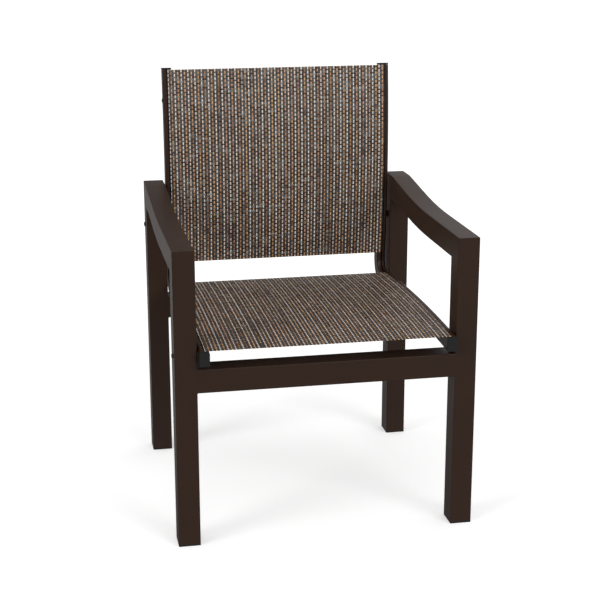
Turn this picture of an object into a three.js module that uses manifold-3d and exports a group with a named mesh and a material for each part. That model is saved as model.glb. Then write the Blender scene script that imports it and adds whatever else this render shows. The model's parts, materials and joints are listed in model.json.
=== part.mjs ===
// Patio armchair: a welded frame of rectangular aluminium tube with a sling seat and back.
// Millimetres, +Z up, the sitter faces -Y. Left and right are as seen from the front.
// The chair is mirrored about X = 0 and stands on Z = 0. While the pieces are made, Y = 0 is the
// front face of the front legs; at the end the chair is moved to the middle of its footprint.

import * as THREE from 'three';
import { mergeVertices } from 'three/addons/utils/BufferGeometryUtils.js';
import Module from 'manifold-3d';

const wasm = await Module();
wasm.setup();

// Frame
const overallWidth = 622.3;
const frameDepth = 590;
const armFrontTop = 622;
const tubeWidth = 45;
const tubeDepth = 50;
const tubeWall = 2;
const tubeCorner = 1.8;
const weldGap = 0.3;
const crossRailHeight = 49.5;
const crossRailDrop = 48.8;

// Arm: level at the front, swept up in a wide arc, straight, then over a crest to a level end
const armDepth = 50;
const armRise = 26.3;
const armSlope = THREE.MathUtils.degToRad(6.73);
const armSweepRadius = 1550;
const armCrestRadius = 200;
const armCrestLength = 45;
const armRearDepth = 56;

// Face line of the sling rails, which carries the cloth: seat arc, bend, back arc
const seatHeight = 427.8;
const seatCrownBack = 210;
const seatRadius = 4500;
const bendRadius = 24;
const backBowInset = 38;
const backBowHeight = 678;
const backRadius = 2050;
const railFrontReach = 15;
const railTop = 905.3;

// Section of the sling rails
const slingRailWidth = 20;
const slingRailHeight = 30.6;
const slingRailCorner = 4;
const slingRailHeel = 1.2;
const slingRailWall = 2;
const slingRailGap = 3.3;
const slotWidth = 3.4;
const lipThickness = 2.2;
const grooveWidth = 8;
const grooveDepth = 8.4;

// Cloth and splines
const clothThickness = 1;
const clothGap = 0.3;
const seatClothReach = 4;
const seatClothShort = 23;
const backClothRaise = 16;
const backClothReach = 1;
const splineRadius = 2.4;
const splineGap = 0.3;

// End caps of the sling rails
const capThickness = 3.6;
const capHeight = 31.4;
const capBorder = 0.5;
const capDrop = 0.7;
const capCorner = 5;
const capHeel = 1;
const capGap = 0.3;
const capPlugLength = 12;
const capPlugGap = 0.3;

// Bolts through the legs into the sling rails
const boltRadius = 3;
const boltHeadRadius = 5.2;
const boltHeadHeight = 3;
const boltRimHeight = 0.8;
const boltTip = 2;
const boltGap = 0.3;
const rearBoltDrop = 45;
const spacerRadius = 8;
const insertRadius = 5;
const insertLength = 9;

// Spreader bars between the sling rails, with a threaded plug and a screw at each end
const spreaderRadius = 7.5;
const spreaderWall = 1.6;
const seatSpreaderBack = 205;
const backSpreaderDrop = 70;
const spreaderPlugLength = 24;
const spreaderPlugGap = 0.3;
const screwRadius = 2.5;
const screwHeadRadius = 4.6;
const screwHeadHeight = 2.2;
const screwRimHeight = 0.8;
const screwShort = 6;

// Foot glides
const glideThickness = 3.5;
const glidePlugLength = 16;
const glideWall = 2.4;
const glideGap = 0.3;

// Fineness and cuts
const roundSides = 12;
const splineSides = 8;
const cornerSteps = 2;
const seatSteps = 8;
const bendSteps = 9;
const backSteps = 7;
const armArcSteps = 6;
const overrun = 5;

// Places that follow from the sizes above
const legOuterX = overallWidth / 2;
const legInnerX = legOuterX - tubeWidth;
const legMidX = legOuterX - tubeWidth / 2;
const rearLegY = frameDepth - tubeDepth;
const armRearTop = armFrontTop + armRise;
const railOuterX = legInnerX - slingRailGap;
const railInnerX = railOuterX - slingRailWidth;
const railMidX = railOuterX - slingRailWidth / 2;
const crossRailTop = seatHeight - crossRailDrop;
const hollowTop = lipThickness + grooveDepth + slingRailWall;
const hollowWidth = slingRailWidth - 2 * slingRailWall;
const hollowHeight = slingRailHeight - hollowTop - slingRailWall;
const hollowMid = hollowTop + hollowHeight / 2;
const splineDepth = lipThickness + grooveDepth - splineGap - splineRadius;

// Materials
const bronze = { color: 0x35291f, roughness: 0.55, metalness: 0.3 };
const darkHardware = { color: 0x2b2623, roughness: 0.45, metalness: 0.7 };
const steel = { color: 0x8b8b88, roughness: 0.35, metalness: 1 };
const blackPlastic = { color: 0x1c1c1c, roughness: 0.6, metalness: 0 };
const sling = { color: 0x6b5a4e, roughness: 0.8, metalness: 0 };

const chair = new THREE.Group();

function add(name, geometry, finish) {
  const mesh = new THREE.Mesh(geometry, new THREE.MeshStandardMaterial(finish));
  mesh.name = name;
  chair.add(mesh);
}

// A copy of a geometry on the other side of X = 0, its faces still pointing out
function mirrored(geometry) {
  const copy = geometry.index ? geometry.toNonIndexed() : geometry.clone();
  copy.scale(-1, 1, 1);
  const position = copy.attributes.position;
  const [second, third] = [new THREE.Vector3(), new THREE.Vector3()];
  for (let i = 0; i < position.count; i += 3) {
    second.fromBufferAttribute(position, i + 1);
    third.fromBufferAttribute(position, i + 2);
    position.setXYZ(i + 1, third.x, third.y, third.z);
    position.setXYZ(i + 2, second.x, second.y, second.z);
  }
  copy.computeVertexNormals();
  return copy;
}

function addBothSides(name, geometry, finish) {
  add(`left_${name}`, mirrored(geometry), finish);
  add(`right_${name}`, geometry, finish);
}

// Booleans
function solid(geometry) {
  const bare = geometry.clone();
  bare.deleteAttribute('normal');
  bare.deleteAttribute('uv');
  const merged = mergeVertices(bare);
  return new wasm.Manifold(new wasm.Mesh({
    numProp: 3,
    vertProperties: new Float32Array(merged.attributes.position.array),
    triVerts: new Uint32Array(merged.index.array),
  }));
}

function geometryOf(manifold) {
  const mesh = manifold.getMesh();
  const geometry = new THREE.BufferGeometry();
  geometry.setAttribute('position', new THREE.BufferAttribute(new Float32Array(mesh.vertProperties), 3));
  geometry.setIndex(new THREE.BufferAttribute(new Uint32Array(mesh.triVerts), 1));
  geometry.computeVertexNormals();
  return geometry;
}

// Outlines
function roundedBox(width, height, radius) {
  const [x, y] = [width / 2 - radius, height / 2 - radius];
  const shape = new THREE.Shape();
  shape.moveTo(x, -y - radius);
  shape.absarc(x, -y, radius, -Math.PI / 2, 0);
  shape.absarc(x, y, radius, 0, Math.PI / 2);
  shape.absarc(-x, y, radius, Math.PI / 2, Math.PI);
  shape.absarc(-x, -y, radius, Math.PI, 1.5 * Math.PI);
  return shape;
}

function box(width, height) {
  const [x, y] = [width / 2, height / 2];
  return new THREE.Shape([[-x, -y], [x, -y], [x, y], [-x, y]].map(([u, v]) => new THREE.Vector2(u, v)));
}

// A box with its top at -top, round upper corners and small lower ones
function headedBox(width, height, top, corner, heel) {
  const x = width / 2;
  const shape = new THREE.Shape();
  shape.moveTo(x - heel, -top - height);
  shape.absarc(x - heel, -top - height + heel, heel, -Math.PI / 2, 0);
  shape.absarc(x - corner, -top - corner, corner, 0, Math.PI / 2);
  shape.absarc(-x + corner, -top - corner, corner, Math.PI / 2, Math.PI);
  shape.absarc(-x + heel, -top - height + heel, heel, Math.PI, 1.5 * Math.PI);
  return shape;
}

function prism(shape, depth) {
  return new THREE.ExtrudeGeometry(shape, { depth, bevelEnabled: false, curveSegments: cornerSteps, steps: 1 });
}

// A tube section: a rounded box with a plain box inside
function tubeSection(width, height) {
  const shape = roundedBox(width, height, tubeCorner);
  shape.holes.push(box(width - 2 * tubeWall, height - 2 * tubeWall));
  return shape;
}

// A block across the chair whose side outline is given in (y, z); bevel rounds its long edges
function blockAcross(outline, midX, width, bevel = 0) {
  const straight = width - 2 * bevel;
  const block = new THREE.ExtrudeGeometry(new THREE.Shape(outline), {
    depth: straight,
    bevelEnabled: bevel > 0,
    bevelThickness: bevel,
    bevelSize: bevel,
    bevelOffset: -bevel,
    bevelSegments: cornerSteps,
    steps: 1,
  });
  block.translate(0, 0, -straight / 2);
  block.applyMatrix4(new THREE.Matrix4().makeBasis(
    new THREE.Vector3(0, 1, 0), new THREE.Vector3(0, 0, 1), new THREE.Vector3(1, 0, 0)));
  block.translate(midX, 0, 0);
  return block;
}

// A turned piece along X: pairs of radius and distance from x, at a place in (y, z)
function turned(profile, x, place) {
  const points = profile.map(([radius, along]) => new THREE.Vector2(radius, along));
  const lathe = new THREE.LatheGeometry(points, roundSides);
  lathe.rotateZ(-Math.PI / 2);
  lathe.translate(x, place.y, place.z);
  return lathe;
}

function rod(radius, fromX, toX, place) {
  const length = toX - fromX;
  return turned([[0, 0], [radius, 0], [radius, length], [0, length]], fromX, place);
}

function ring(outer, inner, fromX, toX, place) {
  const length = toX - fromX;
  return turned([[inner, 0], [outer, 0], [outer, length], [inner, length], [inner, 0]], fromX, place);
}

// A shank that ends in a low domed head, the head's seat at seatX
function screw(radius, length, headRadius, headHeight, rimHeight, seatX, place) {
  const dome = Array.from({ length: cornerSteps }, (_, i) => {
    const angle = (Math.PI / 2) * (i / cornerSteps);
    return [headRadius * Math.cos(angle), length + rimHeight + (headHeight - rimHeight) * Math.sin(angle)];
  });
  const profile = [[0, 0], [radius, 0], [radius, length], [headRadius, length], ...dome,
    [0, length + headHeight]];
  return turned(profile, seatX - length, place);
}

// A curve through chosen stations, each a place and a direction in a plane of constant X
class StationCurve extends THREE.Curve {
  constructor(stations) {
    super();
    this.stations = stations;
  }

  station(u) {
    return this.stations[Math.round(u * (this.stations.length - 1))];
  }

  getPoint(u) {
    return new THREE.Vector3(0, this.station(u).y, this.station(u).z);
  }

  getPointAt(u) {
    return this.getPoint(u);
  }

  getTangent(u) {
    return new THREE.Vector3(0, Math.cos(this.station(u).along), Math.sin(this.station(u).along));
  }

  getTangentAt(u) {
    return this.getTangent(u);
  }
}

// Sweeps a section along stations: its x lies across the chair, its y points to the sitter
function sweep(shape, stations, midX = 0, curveSegments = cornerSteps) {
  const swept = new THREE.ExtrudeGeometry(shape, {
    steps: stations.length - 1,
    curveSegments,
    extrudePath: new StationCurve(stations),
  });
  swept.translate(midX, 0, 0);
  return swept;
}

// Arcs of the face line. The bend's centre lies at one radius from both wide arcs.
const seatCentre = new THREE.Vector2(seatCrownBack, seatHeight - seatRadius);
const backCentre = new THREE.Vector2(frameDepth - backBowInset + backRadius, backBowHeight);
const bendCentre = crossing(seatCentre, seatRadius + bendRadius, backCentre, backRadius + bendRadius);

function crossing(centreA, radiusA, centreB, radiusB) {
  const between = centreB.clone().sub(centreA);
  const distance = between.length();
  const reach = (radiusA ** 2 - radiusB ** 2 + distance ** 2) / (2 * distance);
  const ahead = between.divideScalar(distance);
  const across = new THREE.Vector2(-ahead.y, ahead.x);
  return centreA.clone().addScaledVector(ahead, reach)
    .addScaledVector(across, Math.sqrt(radiusA ** 2 - reach ** 2));
}

// Stations by angle: on the seat from straight up, on the bend and the back from level
function seatStation(angle) {
  return {
    y: seatCentre.x + seatRadius * Math.sin(angle),
    z: seatCentre.y + seatRadius * Math.cos(angle),
    along: -angle,
  };
}

function bendStation(angle) {
  return {
    y: bendCentre.x + bendRadius * Math.cos(angle),
    z: bendCentre.y + bendRadius * Math.sin(angle),
    along: angle + Math.PI / 2,
  };
}

function backStation(angle) {
  return {
    y: backCentre.x - backRadius * Math.cos(angle),
    z: backCentre.y + backRadius * Math.sin(angle),
    along: Math.PI / 2 - angle,
  };
}

const seatAngle = (y) => Math.asin((y - seatCentre.x) / seatRadius);
const backAngle = (z) => Math.asin((z - backCentre.y) / backRadius);
const seatEndAngle = Math.atan2(bendCentre.x - seatCentre.x, bendCentre.y - seatCentre.y);
const backStartAngle = Math.atan2(bendCentre.y - backCentre.y, backCentre.x - bendCentre.x);

function stationsAlong(make, from, to, steps) {
  return Array.from({ length: steps + 1 }, (_, i) => make(from + (to - from) * (i / steps)));
}

const railStations = [
  ...stationsAlong(seatStation, seatAngle(-railFrontReach), seatEndAngle, seatSteps),
  ...stationsAlong(bendStation, -Math.PI / 2 - seatEndAngle, -backStartAngle, bendSteps).slice(1),
  ...stationsAlong(backStation, backStartAngle, backAngle(railTop), backSteps).slice(1),
];
const seatClothStations = stationsAlong(
  seatStation, seatAngle(-railFrontReach - seatClothReach), seatAngle(bendCentre.x - seatClothShort), seatSteps);
const backClothStations = stationsAlong(
  backStation, backAngle(bendCentre.y + backClothRaise), backAngle(railTop + backClothReach), backSteps);
const seatSplineStations = stationsAlong(
  seatStation, seatAngle(-railFrontReach + splineGap), seatAngle(bendCentre.x - seatClothShort), seatSteps);
const backSplineStations = stationsAlong(
  backStation, backAngle(bendCentre.y + backClothRaise), backAngle(railTop - splineGap), backSteps);

// The place at a depth under the face line, moved on by a distance along it
function under(station, depth, on = 0) {
  return {
    y: station.y + depth * Math.sin(station.along) + on * Math.cos(station.along),
    z: station.z - depth * Math.cos(station.along) + on * Math.sin(station.along),
    along: station.along,
  };
}

const frontBolt = under(seatStation(seatAngle(tubeDepth / 2)), hollowMid);
const rearBolt = under(backStation(backAngle(armRearTop - armRearDepth - rearBoltDrop)), hollowMid);
const seatSpreader = under(seatStation(seatAngle(seatSpreaderBack)), hollowMid);
const backSpreader = under(backStation(backAngle(railTop - backSpreaderDrop)), hollowMid);

// Mitre planes between legs and arms, as lines from front to rear in (y, z)
const frontMitre = [new THREE.Vector2(0, armFrontTop), new THREE.Vector2(tubeDepth, armFrontTop - armDepth)];
const rearMitre = [new THREE.Vector2(rearLegY, armRearTop - armRearDepth), new THREE.Vector2(frameDepth, armRearTop)];

// What a mitre takes away: the side above its line from a leg, the side below it from an arm
function mitreWaste([start, end], takesAbove) {
  const way = takesAbove ? 1 : -1;
  const ahead = end.clone().sub(start).normalize();
  const up = new THREE.Vector2(-ahead.y, ahead.x).multiplyScalar(way);
  const first = start.clone().addScaledVector(ahead, -tubeDepth).addScaledVector(up, -weldGap / 2);
  const last = end.clone().addScaledVector(ahead, tubeDepth).addScaledVector(up, -weldGap / 2);
  const away = 2 * (tubeDepth + armDepth);
  const outline = [first, last, last.clone().addScaledVector(up, away), first.clone().addScaledVector(up, away)];
  return solid(blockAcross(outline, legMidX, tubeWidth + 2 * overrun));
}

// Legs
function leg(frontY, top, mitre, bolt) {
  const tube = prism(tubeSection(tubeWidth, tubeDepth), top + overrun - glideThickness);
  tube.translate(legMidX, frontY + tubeDepth / 2, glideThickness);
  const hole = solid(rod(boltRadius + boltGap, legInnerX - overrun, legOuterX + overrun, bolt));
  return geometryOf(solid(tube).subtract(mitreWaste(mitre, true)).subtract(hole));
}

addBothSides('front_leg', leg(0, armFrontTop, frontMitre, frontBolt), bronze);
addBothSides('rear_leg', leg(rearLegY, armRearTop, rearMitre, rearBolt), bronze);

// Arms. The top line runs level, up the sweep arc, straight, over the crest arc and level again.
const sweepRise = armSweepRadius * (1 - Math.cos(armSlope));
const crestRise = armCrestRadius * (1 - Math.cos(armSlope));
const crestEndY = frameDepth - armCrestLength;
const crestStartY = crestEndY - armCrestRadius * Math.sin(armSlope);
const slopeStartY = crestStartY - (armRise - sweepRise - crestRise) / Math.tan(armSlope);
const sweepStartY = slopeStartY - armSweepRadius * Math.sin(armSlope);

function armSweep(depth, lift) {
  const radius = armSweepRadius + depth;
  return Array.from({ length: armArcSteps + 1 }, (_, i) => {
    const angle = armSlope * (i / armArcSteps);
    return new THREE.Vector2(
      sweepStartY + radius * Math.sin(angle),
      armFrontTop - depth + lift + radius * (1 - Math.cos(angle)));
  });
}

function armCrest(lift) {
  return Array.from({ length: cornerSteps + 1 }, (_, i) => {
    const angle = armSlope * (1 - i / cornerSteps);
    return new THREE.Vector2(
      crestEndY - armCrestRadius * Math.sin(angle),
      armRearTop + lift - armCrestRadius * (1 - Math.cos(angle)));
  });
}

// Side outline of an arm, drawn in by inset and run past both of its ends by extra
function armOutline(inset, extra) {
  const [front, rear] = [-extra, frameDepth + extra];
  const bottom = armSweep(armDepth, inset);
  const bottomEnd = bottom[bottom.length - 1];
  const rearBottom = armRearTop - armRearDepth + inset;
  const meetY = bottomEnd.x + (rearBottom - bottomEnd.y) / Math.tan(armSlope);
  return [
    new THREE.Vector2(front, armFrontTop - armDepth + inset),
    ...bottom,
    new THREE.Vector2(meetY, rearBottom),
    new THREE.Vector2(rear, rearBottom),
    new THREE.Vector2(rear, armRearTop - inset),
    ...armCrest(-inset).reverse(),
    ...armSweep(0, -inset).reverse(),
    new THREE.Vector2(front, armFrontTop - inset),
  ];
}

const armShell = solid(blockAcross(armOutline(0, tubeDepth), legMidX, tubeWidth, tubeCorner));
const armHollow = solid(blockAcross(
  armOutline(tubeWall, tubeDepth + overrun), legMidX, tubeWidth - 2 * tubeWall));
const armTube = armShell.subtract(armHollow)
  .subtract(mitreWaste(frontMitre, false))
  .subtract(mitreWaste(rearMitre, false));
addBothSides('arm', geometryOf(armTube), bronze);

// Cross rails between the legs
function crossRail(frontY) {
  const tube = prism(tubeSection(tubeDepth, crossRailHeight), 2 * legInnerX);
  tube.applyMatrix4(new THREE.Matrix4().makeBasis(
    new THREE.Vector3(0, 1, 0), new THREE.Vector3(0, 0, 1), new THREE.Vector3(1, 0, 0)));
  tube.translate(-legInnerX, frontY + tubeDepth / 2, crossRailTop - crossRailHeight / 2);
  return tube;
}

add('front_rail', crossRail(0), bronze);
add('rear_rail', crossRail(rearLegY), bronze);

// Sling rails: a groove for the cloth opens to the sitter, with a hollow under it
function slingRailSection() {
  const shape = new THREE.Shape();
  const x = slingRailWidth / 2;
  const [slot, groove] = [slotWidth / 2, grooveWidth / 2];
  const floor = -lipThickness - grooveDepth;
  shape.moveTo(x - slingRailHeel, -slingRailHeight);
  shape.absarc(x - slingRailHeel, -slingRailHeight + slingRailHeel, slingRailHeel, -Math.PI / 2, 0);
  shape.absarc(x - slingRailCorner, -slingRailCorner, slingRailCorner, 0, Math.PI / 2);
  shape.lineTo(slot, 0);
  shape.lineTo(slot, -lipThickness);
  shape.lineTo(groove, -lipThickness);
  shape.lineTo(groove, floor);
  shape.lineTo(-groove, floor);
  shape.lineTo(-groove, -lipThickness);
  shape.lineTo(-slot, -lipThickness);
  shape.lineTo(-slot, 0);
  shape.absarc(-x + slingRailCorner, -slingRailCorner, slingRailCorner, Math.PI / 2, Math.PI);
  shape.absarc(-x + slingRailHeel, -slingRailHeight + slingRailHeel, slingRailHeel, Math.PI, 1.5 * Math.PI);
  const hollow = box(hollowWidth, hollowHeight).getPoints().map((p) => new THREE.Vector2(p.x, p.y - hollowMid));
  shape.holes.push(new THREE.Path(hollow));
  return shape;
}

function slingRail() {
  const outerHole = (place) => solid(rod(boltRadius + boltGap, railMidX, railOuterX + overrun, place));
  const throughHole = (place) => solid(
    rod(screwRadius + boltGap, railInnerX - overrun, railOuterX + overrun, place));
  return geometryOf(solid(sweep(slingRailSection(), railStations, railMidX))
    .subtract(outerHole(frontBolt))
    .subtract(outerHole(rearBolt))
    .subtract(throughHole(seatSpreader))
    .subtract(throughHole(backSpreader)));
}

addBothSides('sling_rail', slingRail(), bronze);

// End caps: a plate over the end of a sling rail and a plug in its hollow.
// out is 1 at the top end and -1 at the front end, the way the plate stands off the rail.
function endCap(station, out) {
  const at = (distance) => under(station, 0, out * distance);
  const between = (from, to) => (out > 0 ? [at(from), at(to)] : [at(to), at(from)]);
  const plate = headedBox(slingRailWidth + 2 * capBorder, capHeight, capDrop, capCorner, capHeel);
  const plugOutline = box(hollowWidth - 2 * capPlugGap, hollowHeight - 2 * capPlugGap)
    .getPoints().map((p) => new THREE.Vector2(p.x, p.y - hollowMid));
  const plug = new THREE.Shape(plugOutline);
  return geometryOf(solid(sweep(plate, between(capGap, capGap + capThickness), railMidX))
    .add(solid(sweep(plug, between(-capPlugLength, capGap + capThickness / 2), railMidX))));
}

addBothSides('front_cap', endCap(railStations[0], -1), blackPlastic);
addBothSides('top_cap', endCap(railStations[railStations.length - 1], 1), blackPlastic);

// Cloth: a sheet on the rails' faces whose two hems go down through the slots to the splines
function clothPiece(sheetStations, hemStations) {
  const width = 2 * railMidX + clothThickness;
  const hemHeight = clothGap + clothThickness / 2 + splineDepth - splineRadius - clothGap;
  const sheet = box(width, clothThickness).getPoints()
    .map((p) => new THREE.Vector2(p.x, p.y + clothGap + clothThickness / 2));
  const hem = box(clothThickness, hemHeight).getPoints()
    .map((p) => new THREE.Vector2(p.x, p.y + clothGap + clothThickness / 2 - hemHeight / 2));
  const hems = [-railMidX, railMidX].map((midX) => solid(sweep(new THREE.Shape(hem), hemStations, midX)));
  return geometryOf(solid(sweep(new THREE.Shape(sheet), sheetStations)).add(hems[0]).add(hems[1]));
}

add('seat_sling', clothPiece(seatClothStations, seatSplineStations), sling);
add('back_sling', clothPiece(backClothStations, backSplineStations), sling);

function splineSection() {
  return new THREE.Shape(Array.from({ length: splineSides }, (_, i) => {
    const angle = (i + 1 / 2) * 2 * Math.PI / splineSides;
    return new THREE.Vector2(splineRadius * Math.cos(angle), splineRadius * Math.sin(angle) - splineDepth);
  }));
}

addBothSides('seat_spline', sweep(splineSection(), seatSplineStations, railMidX), blackPlastic);
addBothSides('back_spline', sweep(splineSection(), backSplineStations, railMidX), blackPlastic);

// Bolts, spacers and inserts at the four places where a leg holds a sling rail
const insertOuterX = railOuterX - slingRailWall;
const insertInnerX = insertOuterX - insertLength;
for (const [end, place] of [['front', frontBolt], ['rear', rearBolt]]) {
  const length = legOuterX - insertInnerX + boltTip;
  addBothSides(`${end}_bolt`,
    screw(boltRadius, length, boltHeadRadius, boltHeadHeight, boltRimHeight, legOuterX, place), darkHardware);
  addBothSides(`${end}_spacer`,
    ring(spacerRadius, boltRadius + boltGap, railOuterX, legInnerX, place), blackPlastic);
  addBothSides(`${end}_insert`,
    ring(insertRadius, boltRadius + boltGap, insertInnerX, insertOuterX, place), steel);
}

// Spreader bars
const plugRadius = spreaderRadius - spreaderWall - spreaderPlugGap;
for (const [part, place] of [['seat', seatSpreader], ['back', backSpreader]]) {
  add(`${part}_spreader_bar`,
    ring(spreaderRadius, spreaderRadius - spreaderWall, -railInnerX, railInnerX, place), bronze);
  addBothSides(`${part}_spreader_plug`,
    ring(plugRadius, screwRadius + boltGap, railInnerX - spreaderPlugLength, railInnerX, place), steel);
  const length = slingRailWidth + spreaderPlugLength - screwShort;
  addBothSides(`${part}_spreader_screw`,
    screw(screwRadius, length, screwHeadRadius, screwHeadHeight, screwRimHeight, railOuterX, place),
    darkHardware);
}

// Foot glides: a flange under the tube and a hollow plug in it
function footGlide(frontY) {
  const flange = prism(roundedBox(tubeWidth, tubeDepth, tubeCorner), glideThickness);
  const [width, depth] = [tubeWidth, tubeDepth].map((size) => size - 2 * (tubeWall + glideGap));
  const wall = box(width, depth);
  wall.holes.push(box(width - 2 * glideWall, depth - 2 * glideWall));
  const plug = prism(wall, glideThickness / 2 + glidePlugLength);
  plug.translate(0, 0, glideThickness / 2);
  const glide = geometryOf(solid(flange).add(solid(plug)));
  glide.translate(legMidX, frontY + tubeDepth / 2, 0);
  return glide;
}

addBothSides('front_glide', footGlide(0), blackPlastic);
addBothSides('rear_glide', footGlide(rearLegY), blackPlastic);

// The origin is the middle of the footprint
const extent = new THREE.Box3().setFromObject(chair);
chair.position.y = -(extent.min.y + extent.max.y) / 2;

export default chair;
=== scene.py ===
# Sling patio chair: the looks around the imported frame. Metres, +Z up, the sitter faces -Y.
import json
import math

import bmesh
import bpy
import numpy as np
from mathutils import Matrix, Vector


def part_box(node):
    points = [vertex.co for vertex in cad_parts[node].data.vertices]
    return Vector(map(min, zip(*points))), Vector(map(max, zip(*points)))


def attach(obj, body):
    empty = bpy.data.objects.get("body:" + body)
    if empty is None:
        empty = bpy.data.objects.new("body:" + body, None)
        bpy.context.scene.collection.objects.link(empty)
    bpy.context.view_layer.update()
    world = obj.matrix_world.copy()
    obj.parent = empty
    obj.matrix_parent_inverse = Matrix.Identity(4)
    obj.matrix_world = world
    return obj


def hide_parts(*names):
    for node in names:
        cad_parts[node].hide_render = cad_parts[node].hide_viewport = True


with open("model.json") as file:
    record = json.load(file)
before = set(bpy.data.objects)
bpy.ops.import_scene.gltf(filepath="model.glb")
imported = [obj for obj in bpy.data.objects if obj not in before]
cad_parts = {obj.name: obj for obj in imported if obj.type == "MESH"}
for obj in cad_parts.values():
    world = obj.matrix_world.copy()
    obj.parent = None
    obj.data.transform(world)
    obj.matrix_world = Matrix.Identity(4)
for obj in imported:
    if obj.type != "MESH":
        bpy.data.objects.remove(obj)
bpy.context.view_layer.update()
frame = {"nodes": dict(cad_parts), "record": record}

NODES = frame["nodes"]
ROOT = "root"
MM = 0.001
SIDES = ("left", "right")

# Camera of the photograph: 600 pixels wide, turned towards +X, looking down
CAMERA_PLACE = Vector((-0.58174, -2.93513, 1.28081))
CAMERA_TURN = math.radians(11.181)
CAMERA_DOWN = math.radians(15.912)
CAMERA_ROLL = math.radians(-0.04)
FOCAL_PIXELS = 1416.17
FRAME_PIXELS = 600
SENSOR = 36.0

# Face line of the sling rails: a crown point and a radius for each arc
SEAT_CROWN = (-78.954 * MM, 427.8 * MM)
SEAT_RADIUS = 4500 * MM
BACK_CROWN = (263.046 * MM, 678 * MM)
BACK_RADIUS = 2050 * MM

# Hard pieces: how far apart points are welded, what counts as flat, which edges are rounded or
# stay sharp, and how much the big faces lead the shading
WELD_DISTANCE = 0.002 * MM
FLAT_ANGLE = math.radians(0.2)
BEVEL_ANGLE = math.radians(30)
SHARP_ANGLE = math.radians(35)
BEVEL_SEGMENTS = 2
FACE_WEIGHT = 80
# Radius that the edges of each finish are rounded by
EDGES = {"powder_coat": 0.35 * MM, "black_plastic": 0.4 * MM, "bare_steel": 0.2 * MM}

# Bolts and screws: shank radius, head height, height of its rim, and the socket across its flats
BOLT = (3 * MM, 3 * MM, 0.8 * MM, 4 * MM)
SPREADER_SCREW = (2.5 * MM, 2.2 * MM, 0.8 * MM, 3 * MM)
SCREW_SIDES = 36
DOME_STEPS = 7
SHANK_CHAMFER = 0.4 * MM
SOCKET_CHAMFER = 0.12 * MM
# Depth of the socket as a share of the head's height, and its lip as a share of the flats
SOCKET_DEPTH_SHARE = 0.62
LIP_SHARE = 0.62

# Spacer plate: how far it reaches past the spacer or from the leg's face, and its corner radii
PLATE_OVER_WELD = 0.2 * MM
PLATE_FROM_FRONT = 0.8 * MM
PLATE_PAST_SPACER = 4 * MM
PLATE_OVER_SPACER = 2.5 * MM
PLATE_CLEARANCE = 0.02 * MM
PLATE_TOP_RADII = (6 * MM, 4 * MM)
PLATE_FOOT_RADIUS = 1 * MM
PLATE_CORNER_TURNS = (0, 22.5, 45, 67.5, 90)

# Welds: radius of the beads, how far they stand proud of the outer faces, and how far past the
# end of a cross rail its bead lies
RAIL_BEAD = 2 * MM
MITRE_BEAD = 0.9 * MM
FLUSH = 0.04 * MM
PAST_RAIL_END = 0.45 * MM
# Sides of a bead, its steps, the cut of its corners, and the ripples along it
BEAD_SIDES = 12
BEAD_STEP = 0.7 * MM
BEAD_CORNER = 1.6 * MM
RIPPLE_PITCH = 2.8 * MM
RIPPLE_HEIGHT = 0.02 * MM
# Height of the mitres: over the arm's lowest point at the front, under its highest at the rear
FRONT_MITRE_HEIGHT = 50 * MM
REAR_MITRE_HEIGHT = 56 * MM

# Cloth: stretched over the rails' faces, then folded down into their slots. Middle of a slot,
# height of the weave's middle over a face, half the ground sheet's thickness, radius of a fold,
# depth of a hem, reach of the unfolded parts past a slot's middle, and, along the cloth from its
# middle, the ends of the flat part and of the hem
RAIL_MID = 252.85 * MM
WEAVE_MID = 0.85 * MM
CORE_HALF = 0.14 * MM
FOLD_RADIUS = 2 * MM
HEM_DEPTH = 5.2 * MM
TAB_OVER = 0.5 * MM
FLAT_END = RAIL_MID - FOLD_RADIUS
HEM_END = FLAT_END + FOLD_RADIUS * math.pi / 2 + WEAVE_MID - FOLD_RADIUS + HEM_DEPTH
FOLD_TURNS = np.linspace(0, math.pi / 2, 5)
# The dark ground sheet: how far it stays inside the cloth's ends, half the length of its step
# from folded to flat at a hem's end, and its rows and columns
CORE_INSET = 0.4 * MM
CORE_NOTCH = 0.15 * MM
CORE_ROWS = 61
CORE_COLUMNS = 41
CORE_SHARP_ANGLE = math.radians(50)

# Weave: coloured warp yarns in turn cream and orange, dark ones between them, weft bars over them
FIRST_WARP = -251.7 * MM
BAR_SHIFT = -0.7 * MM
WARP_PITCH = 7.68 * MM
WARP_COUNT = 66
ORANGE_SHIFT_SHARE = 0.45
SEAT_DASH_PITCH = 9.5 * MM
SEAT_DASH_AT = -173.5 * MM
BACK_DASH_PITCH = 9.64 * MM
BACK_DASH_AT = -45.95 * MM
# Half width and half height of each yarn, and its height over one pitch: (share of pitch, height)
COLOURED_HALF = (1.42 * MM, 0.42 * MM)
COLOURED_SHAPE = ((-0.5, -0.30 * MM), (-0.31, 0.16 * MM), (0.0, 0.20 * MM), (0.31, 0.16 * MM))
DARK_HALF = (1.8 * MM, 0.38 * MM)
DARK_SHAPE = ((-0.5, 0.03 * MM), (0.0, -0.03 * MM))
WEFT_HALF = (1.75 * MM, 0.34 * MM)
WEFT_SHAPE = ((-0.37, -0.42 * MM), (-0.27, 0.12 * MM), (-0.18, 0.38 * MM), (0.0, 0.44 * MM),
              (0.18, 0.38 * MM), (0.27, 0.12 * MM), (0.37, -0.42 * MM))
# Corners of a yarn's section, as shares of its half width and half height
RING = np.array([(-1, 0), (-0.6, 1), (0.6, 1), (1, 0), (0.6, -1), (-0.6, -1)])
# How far yarns stay inside the cloth's ends, and the least length of the dash that is cut there
YARN_INSET = 0.25 * MM
CUT_DASH = 1.4 * MM
WEFT_INSET = 0.4 * MM
# Looseness: a dash along its yarn, as a share of the pitch, and yarns to the side
LOOSE_SHARE = 0.02
MOST_LOOSE_SHARE = 0.1
WARP_LOOSE = 0.07 * MM
WEFT_LOOSE = 0.10 * MM
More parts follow.
